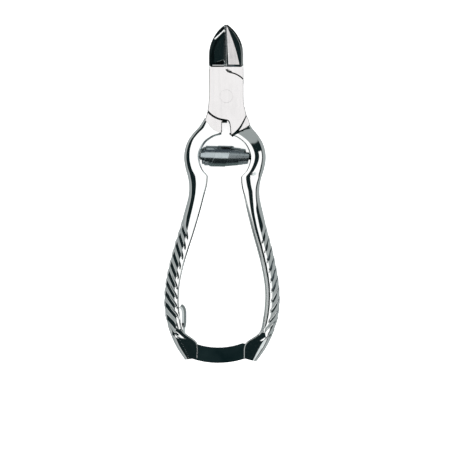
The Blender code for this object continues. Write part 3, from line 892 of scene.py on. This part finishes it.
POINT_EDGE = ((2.4, -16.1), (4.2, -14.6), (5.8, -12.7), (7.3, -10.2), (8.3, -8.3))
POINT_OUTWARDS = Vector((0.8, -0.6))
STEP_WIDTHS = (0.75, 0.7, 0.55, 0.35, 0.15)
STEP_OVERLAP = 0.3
NECK_HOLLOW = (
    (2.2, -14.2), (5.2, -13.9), (5.75, -14.9), (4.6, -15.7), (3.4, -16.3), (2.45, -17.0), (2.2, -16.0),
)
PLATE_EDGE = 0.26


def front_head_outline():
    """The front joint plate, from the slit's foot anticlockwise round its point."""
    return [
        (-SLIT - 0.14, JAW_ROOT_Y),
        (-HEAD_HALF_WIDTH, JAW_ROOT_Y),
        (-HEAD_HALF_WIDTH, 5.0),
        (-HEAD_HALF_WIDTH, 0.0),
        *smooth_row([(-7.25, -1.6), (-7.45, -3.8), (-7.75, -6.0)]),
        *arc((0, 0), PLATE_RADIUS, 219, 264, 22),
        *smooth_row([(-0.2, -9.85), (0.6, -10.05), (1.2, -10.7), (1.55, -12.0), (1.8, -14.4), (1.95, -16.2)]),
        *smooth_row(POINT_EDGE),
        *smooth_row([(8.4, -7.6), (8.0, -6.0), (7.5, -3.8), (7.25, -1.6), (7.2, 0.0)]),
        (HEAD_HALF_WIDTH, 4.0),
        *arc((0, 0), UPPER_PLATE_RADIUS, 43.5, 79, 18),
        *smooth_row([(1.25, 9.98), (0.6, 10.3), (0.15, 10.85)], 3),
    ]


def rear_head_outline():
    """The rear joint plate, from the jaw's root anticlockwise."""
    return [
        (HEAD_HALF_WIDTH, JAW_ROOT_Y),
        (SLIT, JAW_ROOT_Y),
        *smooth_row([(0.12, 11.4), (0.45, 10.95), (0.95, 10.55), (2.0, 10.25)]),
        *arc((0, 0), PLATE_RADIUS, 80, 136.5, 26),
        (-HEAD_HALF_WIDTH, 4.0),
        (-HEAD_HALF_WIDTH, 0.0),
        *smooth_row([(-7.25, -1.6), (-7.5, -4.4), (-8.1, -7.6), (-8.9, -10.0)]),
        *smooth_row(
            [(-8.2, -10.9), (-7.45, -11.8), (-6.9, -12.7), (-5.4, -14.1), (-3.6, -15.0), (-2.1, -15.5)]
        ),
        (-NECK_HALF_GAP - 0.1, -14.0),
        (-NECK_HALF_GAP - 0.1, -10.7),
        (0.4, -10.7),
        *arc((0, 0), PLATE_RADIUS, 272.5, 319, 22),
        (HEAD_HALF_WIDTH, -1.6),
        (HEAD_HALF_WIDTH, 5.0),
    ]


def shelf_outline():
    """The lower flat beside the front plate's point, out to the milled radius."""
    return [
        (2.2, -13.0),
        *arc((0, 0), MILLED_RADIUS + 0.1, 278.5, 309.5, 12),
        (9.75, -11.2),
        (9.3, -9.7),
        (8.45, -7.9),
        (6.5, -6.5),
    ]


def step_outline():
    """A strip along the outside of the front plate's point, painted dark as shade."""
    edge = [Vector(point) for point in POINT_EDGE]
    inside = [point - POINT_OUTWARDS * STEP_OVERLAP for point in edge]
    outside = [point + POINT_OUTWARDS * width for point, width in zip(edge, STEP_WIDTHS)]
    return [tuple(point) for point in (*inside, *reversed(outside))]


def hollow_height(x):
    """Height of the piece painted dark as shade in the hollow beside the neck, rising outwards."""
    return 8.15 + 0.25 * (x - 2.2)


def stop_slope():
    """The cutter that slopes the top of the stop block between the necks."""
    profile = [(-10.15, 9.3), (-10.15, 9.0), (-10.75, 8.65), (-11.2, 8.4), (-11.2, 9.3)]
    return skin([[(x, y, z) for y, z in profile] for x in (-1.7, 0.6)])


def milled_cutter():
    """The cutter for the handle's milled end: a disc about the joint, wider over the front."""
    rings = []
    for z, radius in ((-1.0, 15.3), (8.3, 15.3), (8.95, FLARE_RADIUS), (12.0, FLARE_RADIUS)):
        rings.append([(x, y, z) for x, y in circle((0, 0), radius, 200)])
    return skin(rings)


def pin_bore():
    """The cutter for the joint pin's bore."""
    return prism(circle((0, 0), PIN_BORE_RADIUS), -1, 10)


def lap_recess(low, high):
    """The cutter that takes a plate down to about half of the lap joint's depth."""
    return prism(circle((0, 0), RECESS_RADIUS, 128), low, high)


def saw_cut(outline, side):
    """The cutter for a forked handle end's slot."""
    return prism(lean_all(outline, side), MID_Z - SAW_CUT / 2, MID_Z + SAW_CUT / 2)


def add_front_head():
    """The front plate, the shelf and step beside its point, and the hollow by the neck, with its seams, the
    shelf's sides, the step and the hollow painted dark as shade.
    """
    plate = rounded_prism(front_head_outline(), 0.0, FACE_Z, PLATE_EDGE)
    plate = cut(plate, lap_recess(-1, MID_Z + 0.1), pin_bore())
    # The seams get the near-black metal as painted shade.
    paint_faces(plate, 1, is_painted_seam_shade)
    add_piece("front_joint_plate", plate, "front", ["front_lever"], [satin, painted_shade_and_reflection], 12)
    shelf = rounded_prism(shelf_outline(), 0.05, 8.4, 0.2)
    # The shelf's sides get the near-black metal as painted shade.
    paint_faces(shelf, 1, is_painted_shade_side)
    add_piece("front_neck_shelf", shelf, "front", ["front_lever"], [satin, painted_shade_and_reflection], 12)
    # A strip wholly in the near-black metal, as painted shade along the point.
    step = rounded_prism(step_outline(), 7.6, 8.72, 0.12)
    add_piece("front_plate_step_painted_shade", step, "front", ["front_lever"], [painted_shade_and_reflection], 12)
    # A dark piece in the hollow by the neck, as painted shade.
    hollow = skin([[(x, y, 7.0) for x, y in NECK_HOLLOW], [(x, y, hollow_height(x)) for x, y in NECK_HOLLOW]])
    add_piece("front_neck_hollow_painted_shade", hollow, "front", ["front_lever"], [painted_shade_and_reflection], 12)


def add_rear_head():
    """The rear plate with the stop block between the necks."""
    plate = rounded_prism(rear_head_outline(), 0.0, FACE_Z, PLATE_EDGE)
    plate = cut(plate, lap_recess(MID_Z - 0.1, 10), pin_bore(), stop_slope())
    # The seams get the near-black metal as painted shade.
    paint_faces(plate, 1, is_painted_seam_shade)
    add_piece("rear_joint_plate", plate, "rear", ["rear_lever"], [satin, painted_shade_and_reflection], 12)


def add_jaws():
    """The left jaw with its deep hollow and the right one with its ground facet."""
    left = jaw_mesh(-1, left_jaw_height)
    paint_faces(left, 1, is_root_face)
    # Index 2 is the near-black metal, painted on the hollow's walls as dark reflection.
    paint_faces(left, 2, is_painted_dark_pocket_wall)
    add_piece("left_jaw", left, "front", ["front_lever"], [polished, satin, painted_shade_and_reflection], 24)
    right = jaw_mesh(1, right_jaw_height)
    paint_faces(right, 1, is_root_face)
    paint_faces(right, 2, is_ground_face)
    add_piece("right_jaw", right, "rear", ["rear_lever"], [polished, satin, ground], 24)


def add_handles():
    """Both handles, their forked ends slotted for the catch bar and the keeper."""
    hollow = prism(inset(NECK_HOLLOW, 0.05), 7.2, 10.0)
    right = cut(handle_mesh(1), milled_cutter(), saw_cut(KEEPER_SLOT, 1), hollow)
    # The flare's edge gets the near-black metal as painted shade.
    paint_faces(right, 1, is_painted_flare_shade)
    add_piece("right_handle", right, "front", ["front_lever"], [polished, painted_shade_and_reflection], 24)
    left = cut(handle_mesh(-1), saw_cut(CATCH_SLOT, -1))
    add_piece("left_handle", left, "rear", ["rear_lever"], [polished], 18)


add_front_head()
add_rear_head()
add_jaws()
add_handles()

# ---------------------------------------------------------------- spring, pins and catch

SPRING_HALF_TURNS = 3.1
SPRING_MIDDLE_X = -1.4
SPRING_RADIUS = 4.45
RINGS_PER_TURN = 56
STRIP_HALF_WIDTH = 3.1
STRIP_THICKNESS = 0.5
STRIP_EASE = 0.12
MIDDLE_PITCH = 6.7
MIDDLE_TAPER = 0.15
# Shift along the axis and loss of radius, for each turn beyond the middle one.
LEFT_WINDING = (0.96, 0.5)
RIGHT_WINDING = (2.0, 0.33)
RIGHT_CONE = 0.6
CROSS_PIN_ENDS = (2.2, 6.8)
CROSS_PIN_EDGE = 0.15


def strip_section():
    """Points round the spring's strip, as (along the spring's axis, inwards from its outside)."""
    half, ease, thick = STRIP_HALF_WIDTH, STRIP_EASE, STRIP_THICKNESS
    return (
        (-half + ease, 0.0), (-half + 3 * ease, 0.0), (half - 3 * ease, 0.0), (half - ease, 0.0),
        (half, ease), (half, thick - ease), (half - ease, thick),
        (-half + ease, thick), (-half, thick - ease), (-half, ease),
    )


def spring_mesh():
    """A double volute: one middle turn, and turns that shift and shrink towards both ends."""
    steps = round(2 * SPRING_HALF_TURNS * RINGS_PER_TURN)
    rings = []
    for i in range(steps + 1):
        turn = -SPRING_HALF_TURNS + 2 * SPRING_HALF_TURNS * i / steps
        pitch, taper = LEFT_WINDING if turn < 0 else RIGHT_WINDING
        in_middle = min(abs(turn), 0.5)
        beyond = max(abs(turn) - 0.5, 0.0)
        outer = SPRING_RADIUS - taper * beyond - MIDDLE_TAPER * in_middle
        centre = SPRING_MIDDLE_X + math.copysign(MIDDLE_PITCH * in_middle + pitch * beyond, turn)
        cone = RIGHT_CONE * ramp(turn, 0.3, 0.7)
        angle = 2 * math.pi * turn
        ring = []
        for x, inwards in strip_section():
            radius = outer - inwards - cone * (x + STRIP_HALF_WIDTH) / (2 * STRIP_HALF_WIDTH)
            across = lean(centre + x, SPRING_Y + radius * math.sin(angle))
            ring.append((*across, MID_Z + radius * math.cos(angle)))
        rings.append(ring)
    return skin(rings)


def add_spring():
    """The spring between the two handles, riding no body, in place of the CAD spring."""
    spring = add_piece("volute_spring", spring_mesh(), None, [], [tempered])
    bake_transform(spring)
    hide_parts("barrel_spring")


def add_cross_pin(cad_name, name, body):
    """A pin where the CAD has it, but ending inside the fork."""
    low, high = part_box(cad_name)
    centre = ((low.x + high.x) / 2 / MM, (low.y + high.y) / 2 / MM)
    outline = circle(centre, (high.x - low.x) / 2 / MM, 48)
    pin = rounded_prism(outline, *CROSS_PIN_ENDS, CROSS_PIN_EDGE)
    add_piece(name, pin, body, [cad_name], [pin_metal])


def finish_cad_nodes():
    """Gives the CAD nodes that stay their materials."""
    # The spring's pegs get the near-black metal as painted shade.
    for name, material in (
        ("joint_pin", satin), ("left_spring_peg", painted_shade_and_reflection), ("right_spring_peg", painted_shade_and_reflection),
        ("leaf_rivet", pin_metal), ("catch_bar", near_black_catch), ("catch_leaf", leaf_metal),
    ):
        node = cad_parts[name]
        node.data.materials.clear()
        node.data.materials.append(material)


add_spring()
add_cross_pin("catch_rivet", "catch_cross_rivet", "rear")
add_cross_pin("keeper_pin", "keeper_cross_pin", "front")
finish_cad_nodes()

# ---------------------------------------------------------------- stage

DARKNESS = (0.006, 0.014, 0.015)
WHITE = (1.2, 1.2, 1.2)
FLOOR_HALF_SIZE = 3.0
FLOOR_Z = -0.0002
FLOOR_GLOW = 0.8
SENSOR_WIDTH = 36.0
CAMERA_DISTANCE = 0.9
CAMERA_XY = (-0.0005, -0.0535)
VIEW_WIDTH = 0.1869


class SkyNodes:
    """The nodes that say what a mirrored ray meets, by its direction."""

    def __init__(self, tree):
        self.tree = tree
        coords = tree.nodes.new("ShaderNodeTexCoord")
        split = tree.nodes.new("ShaderNodeSeparateXYZ")
        tree.links.new(coords.outputs["Generated"], split.inputs[0])
        x, y, z = split.outputs
        squares = self.maths("ADD", self.maths("MULTIPLY", x, x), self.maths("MULTIPLY", y, y))
        flat = self.maths("MAXIMUM", self.maths("SQRT", squares), 1e-4)
        cosine = self.maths("MINIMUM", self.maths("MAXIMUM", z, -1.0), 1.0)
        self.tilt = self.maths("MULTIPLY", self.maths("ARCCOSINE", cosine), 180 / math.pi)
        self.east = self.maths("DIVIDE", x, flat)
        self.north = self.maths("DIVIDE", y, flat)

    def maths(self, operation, a, b=0.0):
        """The result of one sum on numbers or sockets."""
        made = self.tree.nodes.new("ShaderNodeMath")
        made.operation = operation
        for socket, value in zip(made.inputs, (a, b)):
            if isinstance(value, (int, float)):
                socket.default_value = value
            else:
                self.tree.links.new(value, socket)
        return made.outputs[0]

    def step(self, value, low, high):
        """0 below `low`, 1 above `high`, and smooth between them."""
        made = self.tree.nodes.new("ShaderNodeMapRange")
        made.interpolation_type = "SMOOTHSTEP"
        made.inputs["From Min"].default_value = low
        made.inputs["From Max"].default_value = high
        self.tree.links.new(value, made.inputs["Value"])
        return made.outputs["Result"]

    def between(self, value, low, high, soft):
        """1 between two values, with soft ends."""
        below = self.maths("SUBTRACT", 1.0, self.step(value, high - soft, high + soft))
        return self.maths("MULTIPLY", self.step(value, low - soft, low + soft), below)

    def sector(self, centre, half, soft):
        """1 for directions within `half` degrees of the azimuth `centre`, 0 being +X."""
        c = math.radians(centre)
        along_east = self.maths("MULTIPLY", self.east, math.cos(c))
        along_north = self.maths("MULTIPLY", self.north, math.sin(c))
        towards = self.maths("ADD", along_east, along_north)
        start, end = math.radians(half + soft), math.radians(max(half - soft, 0))
        return self.step(towards, math.cos(start), math.cos(end))

    def both(self, first, second):
        """Where two masks overlap."""
        return self.maths("MULTIPLY", first, second)

    def window(self, x_range, y_range, soft):
        """A rectangle overhead, in degrees from straight up."""
        across = self.maths("MULTIPLY", self.east, self.tilt)
        along = self.maths("MULTIPLY", self.north, self.tilt)
        return self.both(self.between(across, *x_range, soft), self.between(along, *y_range, soft))


def studio_layers(sky):
    """(colour, mask) pairs, each laid over those before it: grey low down, then soft boxes."""
    tilt = sky.tilt
    return [
        ((0.36, 0.39, 0.39), sky.step(tilt, 116, 128)),
        ((0.16, 0.20, 0.19), sky.both(sky.sector(-90, 32, 8), sky.step(tilt, 86, 94))),
        ((0.48, 0.50, 0.50), sky.both(sky.sector(180, 46, 6), sky.step(tilt, 70, 76))),
        ((0.35, 0.38, 0.38), sky.both(sky.sector(180, 46, 6), sky.step(tilt, 93, 97))),
        ((0.38, 0.41, 0.41), sky.both(sky.sector(5, 62, 8), sky.step(tilt, 94, 98))),
        ((0.34, 0.37, 0.37), sky.both(sky.sector(57, 18, 3), sky.step(tilt, 12, 20))),
        ((0.09, 0.11, 0.13), sky.both(sky.sector(90, 14, 4), sky.between(tilt, 44, 78, 4))),
        (WHITE, sky.both(sky.sector(-9, 27, 1.5), sky.between(tilt, 29, 82, 2))),
        ((0.75, 0.8, 0.8), sky.both(sky.sector(-44, 12, 2), sky.between(tilt, 42, 76, 3))),
        (WHITE, sky.window((-20, 9), (-24, 37), 3)),
    ]


def world_light():
    """A plain white world, which mirrored rays see as a dark studio with soft boxes."""
    world = bpy.data.worlds.new("studio")
    bpy.context.scene.world = world
    world.use_nodes = True
    tree = world.node_tree
    tree.nodes.clear()
    colour = None
    for value, mask in studio_layers(SkyNodes(tree)):
        mix = tree.nodes.new("ShaderNodeMix")
        mix.data_type = "RGBA"
        mix.inputs["A"].default_value = (*DARKNESS, 1)
        if colour is not None:
            tree.links.new(colour, mix.inputs["A"])
        mix.inputs["B"].default_value = (*value, 1)
        tree.links.new(mask, mix.inputs["Factor"])
        colour = mix.outputs["Result"]
    path = tree.nodes.new("ShaderNodeLightPath")
    mirrored = tree.nodes.new("ShaderNodeBackground")
    tree.links.new(colour, mirrored.inputs["Color"])
    plain = tree.nodes.new("ShaderNodeBackground")
    plain.inputs["Color"].default_value = (1, 1, 1, 1)
    chosen = tree.nodes.new("ShaderNodeMixShader")
    tree.links.new(path.outputs["Is Glossy Ray"], chosen.inputs["Fac"])
    tree.links.new(plain.outputs[0], chosen.inputs[1])
    tree.links.new(mirrored.outputs[0], chosen.inputs[2])
    out = tree.nodes.new("ShaderNodeOutputWorld")
    tree.links.new(chosen.outputs[0], out.inputs["Surface"])


def floor():
    """A white sheet that the polished metal doesn't mirror."""
    build = bmesh.new()
    half = FLOOR_HALF_SIZE
    corners = ((-half, -half), (half, -half), (half, half), (-half, half))
    build.faces.new([build.verts.new((x, y, FLOOR_Z)) for x, y in corners])
    mesh = bpy.data.meshes.new("floor")
    build.to_mesh(mesh)
    build.free()
    sheet = bpy.data.objects.new("floor", mesh)
    bpy.context.scene.collection.objects.link(sheet)
    material, _, shader = new_material("white_sweep")
    shader.inputs["Base Color"].default_value = (0.98, 0.98, 0.98, 1)
    shader.inputs["Roughness"].default_value = 0.9
    shader.inputs["Specular IOR Level"].default_value = 0.0
    shader.inputs["Emission Color"].default_value = (1, 1, 1, 1)
    shader.inputs["Emission Strength"].default_value = FLOOR_GLOW
    mesh.materials.append(material)
    sheet.visible_glossy = False


def camera():
    """A camera straight above the nipper."""
    data = bpy.data.cameras.new("camera")
    data.sensor_width = SENSOR_WIDTH
    data.lens = SENSOR_WIDTH * CAMERA_DISTANCE / VIEW_WIDTH
    data.clip_start = 0.01
    data.clip_end = 20.0
    place = bpy.data.objects.new("camera", data)
    place.location = (*CAMERA_XY, THICKNESS + CAMERA_DISTANCE)
    bpy.context.scene.collection.objects.link(place)
    bpy.context.scene.camera = place


world_light()
floor()
camera()
bpy.context.scene.view_settings.view_transform = "Standard"
